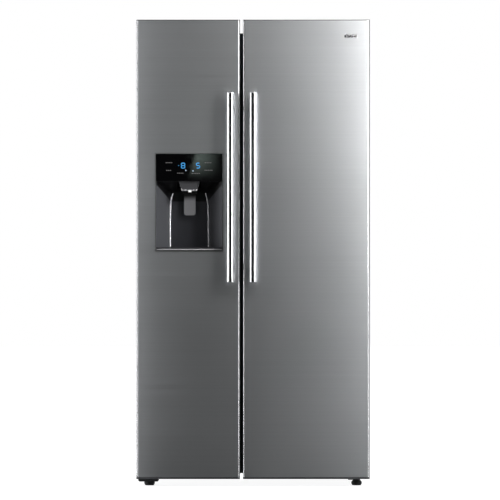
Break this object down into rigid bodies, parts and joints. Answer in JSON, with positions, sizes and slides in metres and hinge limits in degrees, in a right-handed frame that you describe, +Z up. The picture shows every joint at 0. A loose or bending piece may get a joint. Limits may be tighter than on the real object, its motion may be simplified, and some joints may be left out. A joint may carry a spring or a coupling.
{
  "type": "side by side refrigerator",
  "caption": "Tall two-door refrigerator: narrow freezer door with ice and water dispenser, wide refrigerator door, long bar handles, full interior and cooling system.",
  "frame": {"origin": "middle of the footprint on the floor", "axes": "+Z up, -Y is the front with the doors, +X to the right seen from the front"},
  "size_m": [0.895, 0.745, 1.788],
  "materials": {
    "cabinet_grey": "satin grey paint",
    "door_steel": "brushed stainless steel, grain across the door",
    "bar_steel": "polished brushed steel",
    "galvanised": "galvanised sheet",
    "zinc_steel": "zinc plated steel",
    "foam": "closed cell polyurethane foam",
    "liner_white": "white vacuum formed plastic",
    "trim_white": "white moulded plastic",
    "bin_clear": "clear moulded plastic",
    "shelf_glass": "toughened glass",
    "cap_grey": "grey moulded plastic",
    "cap_dark": "dark moulded plastic",
    "gasket": "soft magnetic gasket",
    "housing_grey": "dark grey moulded plastic",
    "panel_black": "gloss black touch panel",
    "spout_grey": "grey moulded plastic",
    "tray_grey": "grey moulded plastic",
    "compressor_black": "black enamel",
    "copper_tube": "copper tube and coated fins",
    "fin_alu": "aluminium tube and fins",
    "motor_grey": "painted motor and bracket",
    "fan_white": "moulded fan",
    "foot_black": "black foot",
    "valve_white": "white valve body"
  },
  "bodies": {
    "cabinet": {"cabinet_shell": "cabinet_grey", "back_panel": "galvanised", "cabinet_insulation": "foam", "freezer_liner": "liner_white", "fridge_liner": "liner_white", "front_frame": "cabinet_grey", "bottom_pan": "galvanised", "compressor_base": "zinc_steel", "compressor": "compressor_black", "condenser": "copper_tube", "condenser_fan_motor": "motor_grey", "machine_cover": "cap_dark", "water_inlet_valve": "valve_white", "lower_hinge_left": "cap_dark", "lower_hinge_right": "zinc_steel", "upper_hinges": "zinc_steel", "hinge_covers": "cap_dark", "hinge_screws": "bar_steel", "evaporator_cover": "liner_white", "evaporator_coil": "fin_alu", "evaporator_fan_motor": "motor_grey", "ice_maker": "trim_white", "freezer_shelves": "shelf_glass", "crisper_cover_shelf": "shelf_glass", "fridge_shelves": "shelf_glass", "fridge_air_duct": "trim_white"},
    "freezer_door": {"freezer_door_skin": "door_steel", "freezer_door_foam": "foam", "freezer_door_liner": "liner_white", "freezer_door_caps": "cap_grey", "freezer_door_gasket": "gasket", "freezer_handle": "bar_steel", "dispenser_housing": "housing_grey", "control_panel": "panel_black", "ice_chute": "spout_grey", "freezer_door_bin": "bin_clear"},
    "fridge_door": {"fridge_door_skin": "door_steel", "fridge_door_foam": "foam", "fridge_door_liner": "liner_white", "fridge_door_caps": "cap_grey", "fridge_door_gasket": "gasket", "fridge_handle": "bar_steel", "fridge_door_bins": "bin_clear", "dairy_box": "bin_clear"},
    "dairy_lid": {"dairy_lid": "bin_clear"},
    "dispenser_paddle": {"dispenser_paddle": "spout_grey"},
    "drip_tray": {"drip_tray": "tray_grey"},
    "leveling_foot_left": {"leveling_foot_left": "foot_black"},
    "leveling_foot_right": {"leveling_foot_right": "foot_black"},
    "rear_roller_left": {"rear_roller_left": "foot_black"},
    "rear_roller_right": {"rear_roller_right": "foot_black"},
    "condenser_fan": {"condenser_fan": "fan_white"},
    "evaporator_fan": {"evaporator_fan": "fan_white"},
    "freezer_drawer_upper": {"freezer_drawer_upper": "bin_clear"},
    "freezer_drawer_lower": {"freezer_drawer_lower": "bin_clear"},
    "ice_bucket": {"ice_bucket": "bin_clear"},
    "ice_auger": {"ice_auger": "zinc_steel"},
    "crisper_upper": {"crisper_upper": "bin_clear"},
    "crisper_lower": {"crisper_lower": "bin_clear"}
  },
  "joints": [
    {"name": "freezer_door_hinge", "type": "hinge", "parent": "cabinet", "child": "freezer_door", "pos_m": [-0.429, -0.27, 0.9], "axis": [0, 0, -1], "range_deg": [0, 115]},
    {"name": "fridge_door_hinge", "type": "hinge", "parent": "cabinet", "child": "fridge_door", "pos_m": [0.429, -0.27, 0.9], "axis": [0, 0, 1], "range_deg": [0, 115]},
    {"name": "dairy_lid_hinge", "type": "hinge", "parent": "fridge_door", "child": "dairy_lid", "pos_m": [0.196, -0.24, 1.568], "axis": [1, 0, 0], "range_deg": [0, 85]},
    {"name": "dispenser_paddle_hinge", "type": "hinge", "parent": "freezer_door", "child": "dispenser_paddle", "pos_m": [-0.243, -0.2525, 1.127], "axis": [1, 0, 0], "range_deg": [0, 9], "stiffness_Nm_per_rad": 1.5},
    {"name": "drip_tray_slide", "type": "slide", "parent": "freezer_door", "child": "drip_tray", "axis": [0, -1, 0], "range_m": [0, 0.06]},
    {"name": "leveling_foot_left_turn", "type": "hinge", "parent": "cabinet", "child": "leveling_foot_left", "pos_m": [-0.3985, -0.2, 0.02], "axis": [0, 0, 1], "continuous": true},
    {"name": "leveling_foot_right_turn", "type": "hinge", "parent": "cabinet", "child": "leveling_foot_right", "pos_m": [0.3985, -0.2, 0.02], "axis": [0, 0, 1], "continuous": true},
    {"name": "rear_roller_left_spin", "type": "hinge", "parent": "cabinet", "child": "rear_roller_left", "pos_m": [-0.385, 0.3, 0.02], "axis": [1, 0, 0], "continuous": true},
    {"name": "rear_roller_right_spin", "type": "hinge", "parent": "cabinet", "child": "rear_roller_right", "pos_m": [0.385, 0.3, 0.02], "axis": [1, 0, 0], "continuous": true},
    {"name": "condenser_fan_spin", "type": "hinge", "parent": "cabinet", "child": "condenser_fan", "pos_m": [-0.055, 0.255, 0.148], "axis": [1, 0, 0], "continuous": true},
    {"name": "evaporator_fan_spin", "type": "hinge", "parent": "cabinet", "child": "evaporator_fan", "pos_m": [-0.2345, 0.244, 1.23], "axis": [0, 1, 0], "continuous": true},
    {"name": "freezer_drawer_upper_slide", "type": "slide", "parent": "cabinet", "child": "freezer_drawer_upper", "axis": [0, -1, 0], "range_m": [0, 0.065]},
    {"name": "freezer_drawer_lower_slide", "type": "slide", "parent": "cabinet", "child": "freezer_drawer_lower", "axis": [0, -1, 0], "range_m": [0, 0.065]},
    {"name": "crisper_upper_slide", "type": "slide", "parent": "cabinet", "child": "crisper_upper", "axis": [0, -1, 0], "range_m": [0, 0.065]},
    {"name": "crisper_lower_slide", "type": "slide", "parent": "cabinet", "child": "crisper_lower", "axis": [0, -1, 0], "range_m": [0, 0.065]},
    {"name": "ice_bucket_slide", "type": "slide", "parent": "cabinet", "child": "ice_bucket", "axis": [0, -1, 0], "range_m": [0, 0.035]},
    {"name": "ice_auger_spin", "type": "hinge", "parent": "ice_bucket", "child": "ice_auger", "pos_m": [-0.245, 0, 1.457], "axis": [0, 1, 0], "continuous": true}
  ]
}
